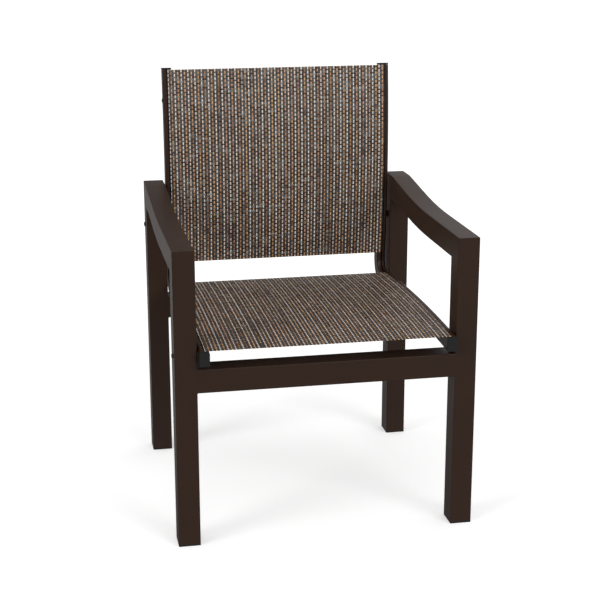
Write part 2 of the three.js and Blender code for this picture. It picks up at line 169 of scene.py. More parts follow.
# Width of the yarn on the left fold, as a share of the others'
FOLD_YARN_SHARE = 0.55
# Spread of tone and warmth: from yarn to yarn, slowly along a yarn, and from dash to dash
CREAM_SPREAD = (0.17, 0.10, 0.18)
ORANGE_SPREAD = (0.14, 0.12, 0.20)
DARK_SPREAD = (0.10, 0.08, 0.15)
WARMTH_MEAN = 0.5
WARMTH_SPREAD = (0.2, 0.2, 0.3)
WEFT_SPREAD = (0.06, 0.05, 0.28)
WEFT_WARMTH_SPREAD = (0.08, 0.1, 0.25)
SLOW_STEPS = 4

# Picture map of a ground sheet: size of a face, place of the lower one, and where the strip of
# its rim starts and how full it is
SHEET_FACE = (0.48, 0.98)
UNDER_FACE_AT = (0.5, 0)
RIM_STRIP = 0.985
RIM_FILL = 0.9
# Picture map of strands: width and fill of the walls' rows, then place, pitch, width and fill of
# the two columns of the ends' faces
WALLS_WIDTH = 0.97
WALL_FILL = 0.92
ENDS_AT = 0.975
ENDS_PITCH = 0.012
END_WIDTH = 0.01
END_FILL = 0.8

# Floor: a disc with a wall far out, its grey and its own glow
FLOOR_REACH = 60
WALL_HEIGHT = 50
FLOOR_SIDES = 64
FLOOR_BELOW = 0.2 * MM
FLOOR_GREY = 0.90
FLOOR_GLOW = 0.435

# Light of the world, each pair from its left to its right: behind the chair at the horizon and
# higher up, in front of it, and overhead
REAR_LOW_LIGHT = (0.10, 0.64)
REAR_HIGH_LIGHT = (0.25, 0.90)
FRONT_LIGHT = (0.13, 0.31)
TOP_LIGHT = 0.60
# Light that the floor would throw back: in front, and behind the chair from left to right
FLOOR_FRONT_LIGHT = 0.43
FLOOR_REAR_LIGHT = (0.14, 1.35)

# Lamps: name, strength, width in degrees and the way to it
LAMPS = (("left", 1.04, 26, (-0.88, -0.47, 0.45)),
         ("right", 0.86, 26, (0.52, -0.86, 0.45)),
         ("fill", 0.29, 34, (0, -0.7, 0.6)))


# Small helpers

def link_object(name, mesh):
    piece = bpy.data.objects.new(name, mesh)
    bpy.context.scene.collection.objects.link(piece)
    return piece


def belongs(piece, slot, *replaced):
    """Rides the piece on the one body and hides the nodes that it replaces. slot is not used."""
    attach(piece, ROOT)
    if replaced:
        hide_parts(*replaced)
    return piece


# Materials

class Field:
    """A value in a node tree that can be added, multiplied and compared."""

    def __init__(self, tree, socket):
        self.tree = tree
        self.socket = socket

    def math(self, operation, *values, clamp=False):
        node = self.tree.nodes.new("ShaderNodeMath")
        node.operation = operation
        node.use_clamp = clamp
        for place, value in enumerate((self, *values)):
            if isinstance(value, Field):
                self.tree.links.new(value.socket, node.inputs[place])
            else:
                node.inputs[place].default_value = value
        return Field(self.tree, node.outputs[0])

    def __add__(self, other):
        return self.math("ADD", other)

    def __sub__(self, other):
        return self.math("SUBTRACT", other)

    def __mul__(self, other):
        return self.math("MULTIPLY", other)

    def rise(self, start, end):
        """0 where the value is under start, 1 over end."""
        node = self.tree.nodes.new("ShaderNodeMapRange")
        node.interpolation_type = "SMOOTHSTEP"
        for name, value in (("From Min", start), ("From Max", end)):
            node.inputs[name].default_value = value
        self.tree.links.new(self.socket, node.inputs["Value"])
        return Field(self.tree, node.outputs["Result"])

    def between(self, low, high):
        """The value at this share of the way from low to high."""
        low, high = (v if isinstance(v, Field) else self * 0 + v for v in (low, high))
        return self * (high - low) + low


class Paint:
    """A Principled material and the nodes that feed it."""

    def __init__(self, name, roughness, specular=0.5, metallic=0.0):
        self.material = bpy.data.materials.new(name)
        self.material.use_nodes = True
        self.tree = self.material.node_tree
        self.shader = self.tree.nodes["Principled BSDF"]
        self.shader.inputs["Roughness"].default_value = roughness
        self.shader.inputs["Specular IOR Level"].default_value = specular
        self.shader.inputs["Metallic"].default_value = metallic

    def place(self):
        return self.tree.nodes.new("ShaderNodeTexCoord").outputs["Object"]

    def noise(self, size, detail=2.0, stretch=(1, 1, 1)):
        """Noise of that grain size in metres, 0 to 1."""
        mapping = self.tree.nodes.new("ShaderNodeMapping")
        mapping.inputs["Scale"].default_value = [1 / way for way in stretch]
        self.tree.links.new(self.place(), mapping.inputs["Vector"])
        node = self.tree.nodes.new("ShaderNodeTexNoise")
        node.inputs["Scale"].default_value = 1 / size
        node.inputs["Detail"].default_value = detail
        self.tree.links.new(mapping.outputs[0], node.inputs["Vector"])
        return Field(self.tree, node.outputs[0])

    def mix(self, share, first, second):
        """A colour between two: each a colour or the socket of one."""
        node = self.tree.nodes.new("ShaderNodeMix")
        node.data_type = "RGBA"
        colours = [s for s in node.inputs if s.type == "RGBA"]
        self.tree.links.new(share.socket, node.inputs["Factor"])
        for socket, colour in zip(colours, (first, second)):
            if isinstance(colour, bpy.types.NodeSocket):
                self.tree.links.new(colour, socket)
            else:
                socket.default_value = (*colour, 1)
        return next(s for s in node.outputs if s.type == "RGBA")

    def ramp(self, field, *stops):
        """A colour by value, through stops of (value, colour)."""
        node = self.tree.nodes.new("ShaderNodeValToRGB")
        elements = node.color_ramp.elements
        while len(elements) < len(stops):
            elements.new(0.5)
        for element, (place, colour) in zip(elements, stops):
            element.position = place
            element.color = (*colour, 1)
        self.tree.links.new(field.socket, node.inputs[0])
        return node.outputs[0]

    def attribute(self, name):
        node = self.tree.nodes.new("ShaderNodeAttribute")
        node.attribute_name = name
        return Field(self.tree, node.outputs["Fac"])

    def colour(self, socket):
        self.tree.links.new(socket, self.shader.inputs["Base Color"])

    def roughness(self, field):
        self.tree.links.new(field.socket, self.shader.inputs["Roughness"])

    def bump(self, height, depth, strength=1.0):
        node = self.tree.nodes.new("ShaderNodeBump")
        node.inputs["Distance"].default_value = depth
        node.inputs["Strength"].default_value = strength
        self.tree.links.new(height.socket, node.inputs["Height"])
        self.tree.links.new(node.outputs[0], self.shader.inputs["Normal"])


def powder_coat():
    """Dark bronze powder coat: a fine pebbled skin, a little uneven in colour and gloss."""
    paint = Paint("powder_coat_bronze", 0.42, 0.32)
    speckle = paint.noise(1.3 * MM, 3)
    cloud = paint.noise(45 * MM, 2)
    blend = (speckle * 0.7 + cloud * 0.5 - 0.1).math("ADD", 0, clamp=True)
    paint.colour(paint.mix(blend, (0.0232, 0.0090, 0.0036), (0.0376, 0.0154, 0.0066)))
    paint.roughness(speckle * 0.10 + 0.37)
    pebble = paint.noise(0.9 * MM, 2)
    peel = paint.noise(4 * MM, 1)
    paint.bump(pebble * 0.6 + peel * 0.4, 0.07 * MM, 0.7)
    return paint.material


def black_plastic():
    """Moulded black nylon with a fine matt grain."""
    paint = Paint("moulded_black_nylon", 0.5, 0.3)
    grain = paint.noise(0.5 * MM, 2)
    paint.colour(paint.mix(grain, (0.009, 0.009, 0.009), (0.016, 0.0165, 0.0165)))
    paint.roughness(grain * 0.15 + 0.42)
    paint.bump(grain, 0.03 * MM, 0.5)
    return paint.material


def dark_hardware():
    """Dark coated steel with a fine grain, for bolts and screws."""
    paint = Paint("dark_coated_steel", 0.35, 0.5, 0.6)
    grain = paint.noise(0.4 * MM, 3)
    paint.colour(paint.mix(grain, (0.030, 0.022, 0.016), (0.055, 0.043, 0.034)))
    paint.roughness(grain * 0.2 + 0.28)
    paint.bump(grain, 0.02 * MM, 0.5)
    return paint.material


def bare_steel():
    """Plain stainless steel, brushed across the chair."""
    paint = Paint("plain_stainless_steel", 0.3, 0.5, 1.0)
    lines = paint.noise(0.3 * MM, 2, stretch=(20, 1, 1))
    paint.colour(paint.mix(lines, (0.42, 0.42, 0.41), (0.58, 0.58, 0.57)))
    paint.roughness(lines * 0.2 + 0.25)
    paint.bump(lines, 0.01 * MM, 0.4)
    return paint.material


def core():
    """The dark ground inside the weave."""
    paint = Paint("sling_core", 0.6, 0.3)
    fibre = paint.noise(1.1 * MM, 2)
    paint.colour(paint.mix(fibre, (0.020, 0.014, 0.012), (0.045, 0.034, 0.030)))
    paint.bump(fibre, 0.05 * MM, 0.5)
    return paint.material


def yarn(name, cool, warm, speck):
    """A vinyl-coated yarn: its tone and warmth change along it, and dark specks lie on it."""
    paint = Paint(name, 0.38, 0.5)
    levels = (0.0, 0.33, 0.67, 1.0)
    # The tone attribute holds each yarn's own random tone and, on some strands, painted shade
    tone = paint.attribute("tone")
    base = paint.mix(paint.attribute("warmth"), paint.ramp(tone, *zip(levels, cool)),
                     paint.ramp(tone, *zip(levels, warm)))
    fibre = paint.noise(0.7 * MM, 2)
    specks = (fibre - 0.45).math("MULTIPLY", speck, clamp=True)
    paint.colour(paint.mix(specks, base, (0.10, 0.075, 0.06)))
    paint.bump(fibre, 0.10 * MM, 0.5)
    return paint.material


POWDER = powder_coat()
PLASTIC = black_plastic()
HARDWARE = dark_hardware()
STEEL = bare_steel()
CORE = core()
YARNS = {
    "cream": yarn(
        "cream_yarn",
        ((0.30, 0.24, 0.21), (0.54, 0.46, 0.41), (0.82, 0.72, 0.65), (1.00, 0.92, 0.84)),
        ((0.35, 0.21, 0.16), (0.62, 0.42, 0.34), (0.92, 0.67, 0.55), (1.00, 0.82, 0.69)), 0.7),
    "orange": yarn(
        "orange_yarn",
        ((0.14, 0.08, 0.055), (0.32, 0.16, 0.10), (0.52, 0.24, 0.13), (0.78, 0.42, 0.26)),
        ((0.18, 0.09, 0.035), (0.40, 0.20, 0.07), (0.66, 0.35, 0.12), (0.92, 0.56, 0.26)), 0.8),
    "dark": yarn(
        "dark_yarn",
        ((0.018, 0.016, 0.017), (0.050, 0.044, 0.043),
         (0.096, 0.083, 0.078), (0.180, 0.155, 0.145)),
        ((0.030, 0.014, 0.010), (0.080, 0.040, 0.026),
         (0.140, 0.072, 0.046), (0.240, 0.130, 0.085)), 1.0),
    "weft": yarn(
        "weft_yarn",
        ((0.006, 0.009, 0.012), (0.040, 0.055, 0.062),
         (0.110, 0.150, 0.158), (0.260, 0.330, 0.340)),
        ((0.012, 0.010, 0.010), (0.060, 0.052, 0.046),
         (0.130, 0.122, 0.112), (0.300, 0.290, 0.260)), 1.0),
}
FINISH = {"powder_coat": POWDER, "black_plastic": PLASTIC, "bare_steel": STEEL}


# Hard pieces: the CAD shapes with welded faces, rounded edges and even shading

def refined(node, slot):
    """A piece of the CAD node's own shape whose sharp edges are rounded."""
    mesh = NODES[node].data.copy()
    mesh.name = node + "_skin"
    shape = bmesh.new()
    shape.from_mesh(mesh)
    bmesh.ops.remove_doubles(shape, verts=shape.verts, dist=WELD_DISTANCE)
    bmesh.ops.dissolve_limit(
        shape, angle_limit=FLAT_ANGLE, verts=shape.verts, edges=shape.edges)
    shape.to_mesh(mesh)
    shape.free()
    if mesh.has_custom_normals:
        mesh.attributes.remove(mesh.attributes["custom_normal"])
    mesh.shade_smooth()
    mesh.materials.clear()
    mesh.materials.append(FINISH[slot])
    piece = link_object(node + "_skin", mesh)
    bevel = piece.modifiers.new("edges", "BEVEL")
    bevel.width = EDGES[slot]
    bevel.segments = BEVEL_SEGMENTS
    bevel.limit_method = "ANGLE"
    bevel.angle_limit = BEVEL_ANGLE
    even = piece.modifiers.new("even", "WEIGHTED_NORMAL")
    even.weight = FACE_WEIGHT
    return belongs(piece, slot, node)


def socket_screw(node, out, shank, head, rim, flats):
    """A bolt or screw along X with a hex socket in its domed head, which looks to out: -1 or 1."""
    low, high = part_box(node)
    radius = (high.z - low.z) / 2
    length = high.x - low.x
    lip = flats * LIP_SHARE
    angles = np.arange(SCREW_SIDES) * 2 * math.pi / SCREW_SIDES
    hexagon = flats / 2 / np.cos((angles + math.pi / 6) % (math.pi / 3) - math.pi / 6)
    dome = [(lip + (radius - lip) * math.cos(a), (head - rim) * (1 - math.sin(a)))
            for a in np.linspace(0, math.pi / 2, DOME_STEPS)]
    profile = [(shank - SHANK_CHAMFER, length), (shank, length - SHANK_CHAMFER),
               (shank, head), (radius, head), *dome,
               (hexagon, SOCKET_CHAMFER), (hexagon, SOCKET_DEPTH_SHARE * head)]
    end = low.x if out < 0 else high.x
    points = np.array([
        np.stack([np.full(SCREW_SIDES, end - out * at),
                  (low.y + high.y) / 2 + reach * np.cos(angles),
                  (low.z + high.z) / 2 + reach * np.sin(angles)], -1) for reach, at in profile])
    step = np.arange(SCREW_SIDES)
    starts = SCREW_SIDES * np.arange(len(profile))
    faces = [(start + a, start + b, after + b, after + a)
             for start, after in zip(starts[:-1].tolist(), starts[1:].tolist())
             for a, b in zip(step.tolist(), np.roll(step, -1).tolist())]
    faces += [step[::-1].tolist(), (starts[-1] + step).tolist()]
    shape = bmesh.new()
    corners = [shape.verts.new(point) for point in points.reshape(-1, 3)]
    for face in faces:
        shape.faces.new([corners[i] for i in face])
    bmesh.ops.recalc_face_normals(shape, faces=shape.faces)
    mesh = bpy.data.meshes.new(node + "_skin")
    shape.to_mesh(mesh)
    shape.free()
    mesh.shade_smooth()
    mesh.set_sharp_from_angle(angle=SHARP_ANGLE)
    mesh.materials.append(HARDWARE)
    return belongs(link_object(mesh.name, mesh), "dark_hardware", node)


def spacer_plate(side):
    """The moulded plate round a front spacer: over the weld, it closes the gap beside the cap."""
    low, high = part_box(f"{side}_front_spacer")
    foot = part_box("front_rail")[1].z + RAIL_BEAD + PLATE_OVER_WELD
    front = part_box(f"{side}_front_leg")[0].y + PLATE_FROM_FRONT
    back, top = high.y + PLATE_PAST_SPACER, high.z + PLATE_OVER_SPACER
    back_radius, front_radius = PLATE_TOP_RADII
    outline = []
    for y, z, radius, start in ((back, top, back_radius, 0), (front, top, front_radius, 90),
                                (front, foot, PLATE_FOOT_RADIUS, 180),
                                (back, foot, PLATE_FOOT_RADIUS, 270)):
        middle_y = y - radius if y == back else y + radius
        middle_z = z - radius if z == top else z + radius
        for turn in PLATE_CORNER_TURNS:
            angle = math.radians(start + turn)
            outline.append((middle_y + radius * math.cos(angle),
                            middle_z + radius * math.sin(angle)))
    inner, outer = low.x + PLATE_CLEARANCE, high.x - PLATE_CLEARANCE
    count = len(outline)
    mesh = bpy.data.meshes.new(f"{side}_front_spacer_plate")
    mesh.from_pydata(
        [(x, y, z) for x in (inner, outer) for y, z in outline], [],
        [list(range(count))[::-1], list(range(count, 2 * count)),
         *[(i, (i + 1) % count, (i + 1) % count + count, i + count) for i in range(count)]])
    mesh.shade_smooth()
    mesh.set_sharp_from_angle(angle=SHARP_ANGLE)
    mesh.materials.append(PLASTIC)
    return belongs(link_object(mesh.name, mesh), "black_plastic")


def bead(name, corners, radius, across):
    """A weld: a closed bead with faint ripples along a loop of corners, square to across."""
    corners = np.array(corners)
    loop = []
    for i, corner in enumerate(corners):
        for near in (corners[i - 1], corners[(i + 1) % len(corners)]):
            way = near - corner
            loop.append(corner + way / np.linalg.norm(way) * BEAD_CORNER)
    loop = np.array(loop + loop[:1])
    run = np.concatenate([[0], np.cumsum(np.linalg.norm(np.diff(loop, axis=0), axis=1))])
    many = int(run[-1] / BEAD_STEP)
    at = np.arange(many) * run[-1] / many
    path = np.stack([np.interp(at, run, column) for column in loop.T], -1)
    ahead = np.roll(path, -1, 0) - np.roll(path, 1, 0)
    ahead /= np.linalg.norm(ahead, axis=1)[:, None]
    across = np.array(across) / np.linalg.norm(across)
    out = np.cross(ahead, across)
    ripples = round(run[-1] / RIPPLE_PITCH)
    reach = radius + RIPPLE_HEIGHT * np.sin(at * 2 * math.pi * ripples / run[-1])
    turn = np.arange(BEAD_SIDES) * 2 * math.pi / BEAD_SIDES
    ring = np.cos(turn)[:, None] * across + np.sin(turn)[:, None] * out[:, None]
    points = path[:, None] + reach[:, None, None] * ring
    row, side = np.arange(many)[:, None] * BEAD_SIDES, np.arange(BEAD_SIDES)
    next_row, next_side = np.roll(row, -1, 0), np.roll(side, -1)
    quads = np.stack(np.broadcast_arrays(
        row + side, row + next_side, next_row + next_side, next_row + side), -1).reshape(-1, 4)
    # The faces look outwards
    outward = points.reshape(-1, 3)[quads[0]]
    if np.cross(outward[1] - outward[0], outward[3] - outward[0]) @ (outward.mean(0) - path[0]) < 0:
        quads = quads[:, ::-1]
    mesh = make_mesh(name, points.reshape(-1, 3), quads, POWDER)
    return belongs(link_object(name, mesh), "powder_coat")


def welds():
    """Beads where cross rails and arms meet the legs, almost flush with the outer faces."""
    for side, out in zip(SIDES, (-1, 1)):
        for end in ("front", "rear"):
            low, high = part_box(f"{end}_rail")
            x = out * (high.x + PAST_RAIL_END)
            inset = RAIL_BEAD - FLUSH
            bead(f"{side}_{end}_rail_weld",
                 [(x, y, z) for y, z in ((low.y + inset, low.z), (high.y - inset, low.z),
                                         (high.y - inset, high.z), (low.y + inset, high.z))],
                 RAIL_BEAD, (1, 0, 0))
        low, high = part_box(f"{side}_arm")
        inset = MITRE_BEAD - FLUSH
        for end, height in (("front", FRONT_MITRE_HEIGHT), ("rear", REAR_MITRE_HEIGHT)):
            leg_low, leg_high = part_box(f"{side}_{end}_leg")
            if end == "front":
                outer = leg_low.y + inset, low.z + height - inset
                inner = leg_high.y, low.z
            else:
                outer = leg_high.y - inset, high.z - inset
                inner = leg_low.y, high.z - height
            bead(f"{side}_{end}_mitre_weld",
                 [(leg_low.x + inset, *outer), (leg_high.x - inset, *outer),
                  (leg_high.x - inset, *inner), (leg_low.x + inset, *inner)],
                 MITRE_BEAD, (0, inner[1] - outer[1], outer[0] - inner[0]))


def hard_pieces():
    slots = {row["node"]: row["material_slot"] for row in frame["record"]["subparts"]}
    for node in sorted(NODES):
        if slots[node] in EDGES:
            refined(node, slots[node])
    for side, out in zip(SIDES, (-1, 1)):
        for end in ("front", "rear"):
            socket_screw(f"{side}_{end}_bolt", out, *BOLT)
        for place in ("seat", "back"):
            socket_screw(f"{side}_{place}_spreader_screw", out, *SPREADER_SCREW)
        spacer_plate(side)
    welds()


# Slings

class Arc:
    """One face line of the sling rails, by arc length from its crown, and what lies over it."""

    def __init__(self, crown, radius, back):
        self.crown = crown
        self.radius = radius
        self.back = back

    def point(self, x, s, lift):
        angle = s / self.radius
        out = (self.radius + lift) * np.cos(angle) - self.radius
        along = (self.radius + lift) * np.sin(angle)
        if self.back:
            y, z = self.crown[0] - out, self.crown[1] + along
        else:
            y, z = self.crown[0] + along, self.crown[1] + out
        return np.stack(np.broadcast_arrays(x, y, z), -1)

    def length_at(self, y, z):
        """The arc length of the place on the line that is nearest to (y, z)."""
        if self.back:
            return self.radius * math.atan2(z - self.crown[1], self.crown[0] + self.radius - y)
        return self.radius * math.atan2(y - self.crown[0], z - self.crown[1] + self.radius)


def make_mesh(name, points, quads, material, sheet_map=None):
    """A mesh of quads. sheet_map, if given, lays out each quad's corners for a picture."""
    mesh = bpy.data.meshes.new(name)
    mesh.vertices.add(len(points))
    mesh.vertices.foreach_set("co", points.astype(np.float32).ravel())
    mesh.loops.add(quads.size)
    mesh.loops.foreach_set("vertex_index", quads.astype(np.int32).ravel())
    mesh.polygons.add(len(quads))
    mesh.polygons.foreach_set("loop_start", np.arange(0, quads.size, 4, dtype=np.int32))
    mesh.update(calc_edges=True)
    mesh.shade_smooth()
    if sheet_map is not None:
        layer = mesh.uv_layers.new(name="OFBake")
        layer.uv.foreach_set("vector", sheet_map.astype(np.float32).ravel())
    mesh.materials.append(material)
    return mesh


class Sling:
    """A cloth on its two rails: where it lies, its hems and its weave.

    pitch and dash_at place the dashes along it. shift moves all yarns across it, and skew is how
    far they wander across over its length. edge is where the yarn on the left fold lies. The last
    argument is painted shade: how much lighter the tones get from its front or low end to its
    other one, for the shade that falls on that end.
    """

    def __init__(self, name, arc, pitch, dash_at, shift, skew, edge, painted_shade_drift):
        self.name = name
        self.arc = arc
        self.pitch = pitch
        self.dash_at = dash_at
        self.first_warp = FIRST_WARP + shift
        self.skew = skew
        self.edge = edge
        self.painted_shade_drift = painted_shade_drift
        self.node = f"{name}_sling"
        low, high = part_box(self.node)
        hem_low, hem_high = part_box(f"left_{name}_spline")
        if arc.back:
            self.span = arc.length_at(arc.crown[0], low.z), arc.length_at(arc.crown[0], high.z)
            self.hem = self.span[0], arc.length_at(arc.crown[0], hem_high.z)
        else:
            self.span = arc.length_at(low.y, arc.crown[1]), arc.length_at(high.y, arc.crown[1])
            self.hem = arc.length_at(hem_low.y, arc.crown[1]), self.span[1]

    def place(self, across, along, height):
        """Points in the cloth: beyond the hems it lies out flat, along them its sides fold down."""
        past = np.maximum(np.abs(across) - FLAT_END, 0)
        turn = np.minimum(past / FOLD_RADIUS, math.pi / 2)
        reach = FOLD_RADIUS + height
        x = np.minimum(np.abs(across), FLAT_END) + reach * np.sin(turn)
        lift = WEAVE_MID - FOLD_RADIUS + reach * np.cos(turn) - (past - FOLD_RADIUS * turn)
        folded = (along >= self.hem[0]) & (along <= self.hem[1])
        x = np.where(folded, x, np.minimum(np.abs(across), RAIL_MID + TAB_OVER))
        lift = np.where(folded, lift, WEAVE_MID + height)
        return self.arc.point(np.sign(across) * x, along, lift)

    def share(self, along):
        """-0.5 at the sling's front or low end, 0.5 at its other end."""
        return (along - self.span[0]) / (self.span[1] - self.span[0]) - 0.5

    def core(self):
        """The ground sheet, with both hems folded down into the slots."""
        start, end = self.span[0] + CORE_INSET, self.span[1] - CORE_INSET
        hem = max(self.hem[0], start), min(self.hem[1], end)
        along = np.linspace(*hem, CORE_ROWS)
        if hem[0] > self.span[0] + MM:
            along = np.concatenate([[start, hem[0] - CORE_NOTCH, hem[0] + CORE_NOTCH], along[1:]])
        if hem[1] < self.span[1] - MM:
            along = np.concatenate([along[:-1], [hem[1] - CORE_NOTCH, hem[1] + CORE_NOTCH, end]])
        middle = np.linspace(-FLAT_END, FLAT_END, CORE_COLUMNS)
        side = np.append(FLAT_END + FOLD_RADIUS * FOLD_TURNS[1:], HEM_END)
        across = np.concatenate([-side[::-1], middle, side])
        tab = np.linspace(FLAT_END, RAIL_MID + TAB_OVER, len(side) + 1)[1:]
        flat = np.concatenate([-tab[::-1], middle, tab])
        outside = (along < self.hem[0]) | (along > self.hem[1])
        across = np.where(outside[:, None], flat, across)
        rows, columns = across.shape
        faces = [self.place(across, along[:, None], height) for height in (CORE_HALF, -CORE_HALF)]
        points = np.concatenate([face.reshape(-1, 3) for face in faces])
        count = rows * columns
        corner = np.arange(rows - 1)[:, None] * columns + np.arange(columns - 1)
        top = np.stack(
            [corner, corner + 1, corner + columns + 1, corner + columns], -1).reshape(-1, 4)
        loop = np.concatenate([
            np.arange(columns - 1), columns - 1 + columns * np.arange(rows - 1),
            count - 1 - np.arange(columns - 1), count - columns - columns * np.arange(rows - 1)])
        after = np.roll(loop, -1)
        rim = np.stack([after, loop, loop + count, after + count], -1)
        quads = np.concatenate([top, top[:, ::-1] + count, rim])
        # Picture map: the two faces side by side, and the rim in a strip along the top
        share = np.stack(np.broadcast_arrays(
            np.linspace(0, 1, columns), np.linspace(0, 1, rows)[:, None]), -1).reshape(-1, 2)
        front = share[top] * SHEET_FACE
        under = share[top[:, ::-1]] * SHEET_FACE + UNDER_FACE_AT
        strip = np.array([(0, RIM_STRIP), (1, RIM_STRIP), (1, 1), (0, 1)])
        strip = strip * (RIM_FILL / len(rim), 1)
        shift = np.stack([np.arange(len(rim)) / len(rim), np.zeros(len(rim))], -1)
        sheet_map = np.concatenate([front, under, strip + shift[:, None]])
        mesh = make_mesh(f"{self.name}_cloth", points, quads, CORE, sheet_map)
        mesh.set_sharp_from_angle(angle=CORE_SHARP_ANGLE)
        return belongs(link_object(mesh.name, mesh), "sling_cloth", self.node)

    def strands(self, kind, rings, tone, warmth, material):
        """One piece of many closed strands. rings: strand, station, corner, xyz."""
        many, stations, corners = rings.shape[:3]
        first = np.arange(many)[:, None] * stations * corners
        station = first[:, :, None] + np.arange(stations - 1)[:, None] * corners
        at = station + np.arange(corners)
        after = station + (np.arange(corners) + 1) % corners
        walls = np.stack([at, after, after + corners, at + corners], -1).reshape(-1, 4)
        # Two quads close each end
        ends = np.array([(0, 3, 2, 1), (0, 5, 4, 3)])
        low = (first[:, :, None] + ends).reshape(-1, 4)
        high = (first[:, :, None] + (stations - 1) * corners + ends[:, ::-1]).reshape(-1, 4)
        # Picture map: each wall in a row of its own, and both ends' faces in columns beside them
        share = np.stack(np.broadcast_arrays(
            (np.arange(stations - 1) / (stations - 1))[:, None] * WALLS_WIDTH,
            (np.arange(many)[:, None, None] * corners + np.arange(corners)) / (many * corners)), -1)
        cell = np.array([WALLS_WIDTH / (stations - 1), WALL_FILL / (many * corners)])
        wall_map = share[..., None, :] + cell * np.array([(0, 0), (0, 1), (1, 1), (1, 0)])
        cap = np.array([(0, 0), (0, END_FILL), (1, END_FILL), (1, 0)]) * (END_WIDTH, 0.5 / many)
        cap_map = []
        for column in (0, 1):
            spot = np.stack(np.broadcast_arrays(
                ENDS_AT + ENDS_PITCH * column, np.arange(2 * many) / (2 * many)), -1)
            cap_map.append(spot[:, None] + cap)
        quads = np.concatenate([walls, low, high])
        mesh = make_mesh(f"{self.name}_{kind}", rings.reshape(-1, 3), quads, material,
                         np.concatenate([wall_map.reshape(-1, 4, 2), *cap_map]))
        sharp = np.zeros(len(quads), bool)
        sharp[len(walls):] = True
        mesh.attributes.new("sharp_face", "BOOLEAN", "FACE").data.foreach_set("value", sharp)
        for name, value in (("tone", tone), ("warmth", warmth)):
            mesh.attributes.new(name, "FLOAT", "POINT").data.foreach_set(
                "value", np.repeat(np.clip(value, 0, 1), corners).astype(np.float32))
        return belongs(link_object(mesh.name, mesh), "sling_cloth")

    def warps(self, kind, material, half, shape, middles, shift, spread, seed):
        """Strands along the cloth, at the places middles across it, with dashes moved by shift."""
        random = np.random.default_rng(seed)
        centre = self.dash_at + shift * self.pitch
        numbers = np.arange(math.floor((self.span[0] - centre) / self.pitch) - 1,
                            math.ceil((self.span[1] - centre) / self.pitch) + 2)
        share, lift = (np.tile(column, len(numbers)) for column in np.array(shape).T)
        along = centre + (np.repeat(numbers, len(shape)) + share) * self.pitch
        dash = np.repeat(numbers - numbers[0], len(shape))
        # The dashes at both ends of the cloth are cut there, at the height that they have
        start, end = self.span[0] + YARN_INSET, self.span[1] - YARN_INSET
        inside = (along > start + CUT_DASH) & (along < end - CUT_DASH)
        height = np.concatenate([
            [np.interp(start, along, lift)], lift[inside], [np.interp(end, along, lift)]])
        dash = np.concatenate([[dash[inside][0]], dash[inside], [dash[inside][-1]]])
        many = len(middles)
        loose = random.normal(0, LOOSE_SHARE, many)[:, None]
        loose = loose + random.normal(0, LOOSE_SHARE, (many, len(numbers)))[:, dash]
        loose = np.clip(loose, -MOST_LOOSE_SHARE, MOST_LOOSE_SHARE) * self.pitch
        loose[:, (0, -1)] = 0
        where = np.concatenate([[start], along[inside], [end]]) + loose
        tone = wandering(random, many, len(numbers), *spread)
        # Painted shade: tones grow lighter along each strand towards the cloth's other end
        tone = (tone + self.painted_shade_drift * np.linspace(-0.5, 0.5, len(numbers)))[:, dash]
        warmth = wandering(random, many, len(numbers), WARMTH_MEAN, *WARMTH_SPREAD)[:, dash]
        side = random.normal(0, WARP_LOOSE, (many, len(numbers)))[:, dash]
        on_fold = middles < -FLAT_END
        wide = np.where(on_fold, FOLD_YARN_SHARE, 1.0) * half[0]
        middle = np.where(on_fold, self.edge, middles)
        aside = (middle[:, None] + side + self.skew * self.share(where))[..., None]
        across = aside + wide[:, None, None] * RING[:, 0]
        rings = self.place(across, where[..., None], height[:, None] + half[1] * RING[:, 1])
        return self.strands(kind, rings, tone, warmth, material)

    def wefts(self, kind, over, shift, colour, seed):
        """Strands across the cloth: bars over the cream yarns, or over the orange if over is 1."""
        random = np.random.default_rng(seed)
        period = 2 * WARP_PITCH
        row = self.dash_at + (shift + 0.5) * self.pitch
        margin = WEFT_HALF[0] + WEFT_INSET
        low = math.ceil((self.span[0] + margin - row) / self.pitch)
        high = math.floor((self.span[1] - margin - row) / self.pitch)
        rows = row + np.arange(low, high + 1) * self.pitch
        many = len(rows)
        middle = self.first_warp + BAR_SHIFT + over * WARP_PITCH
        numbers = np.arange(-2, WARP_COUNT // 2 + 2)
        share, lift = (np.tile(column, len(numbers)) for column in np.array(WEFT_SHAPE).T)
        across = middle + (np.repeat(numbers, len(WEFT_SHAPE)) + share) * period
        bar = np.repeat(numbers - numbers[0], len(WEFT_SHAPE))
        inside = np.abs(across) < FLAT_END - WEFT_INSET - abs(self.skew) / 2
        # Along the hems the rows go down the folds, beyond them they stay flat
        fold = np.append(FLAT_END + FOLD_RADIUS * FOLD_TURNS, HEM_END)
        tab = np.linspace(FLAT_END, RAIL_MID + TAB_OVER, len(fold))
        folded = (rows >= self.hem[0]) & (rows <= self.hem[1])
        side = np.where(folded[:, None], fold, tab)
        bars = across[inside] + self.skew * self.share(rows)[:, None]
        where = np.concatenate([-side[:, ::-1], bars, side], 1)
        height = np.concatenate([
            np.interp(-fold[::-1], across, lift), lift[inside], np.interp(fold, across, lift)])
        bar = np.concatenate([np.full(len(fold), bar[inside][0]), bar[inside],
                              np.full(len(fold), bar[inside][-1])])
        tone = wandering(random, many, len(numbers), colour[0], *WEFT_SPREAD)[:, bar]
        # Painted shade: rows grow lighter towards the cloth's other end
        tone += self.painted_shade_drift * self.share(rows)[:, None]
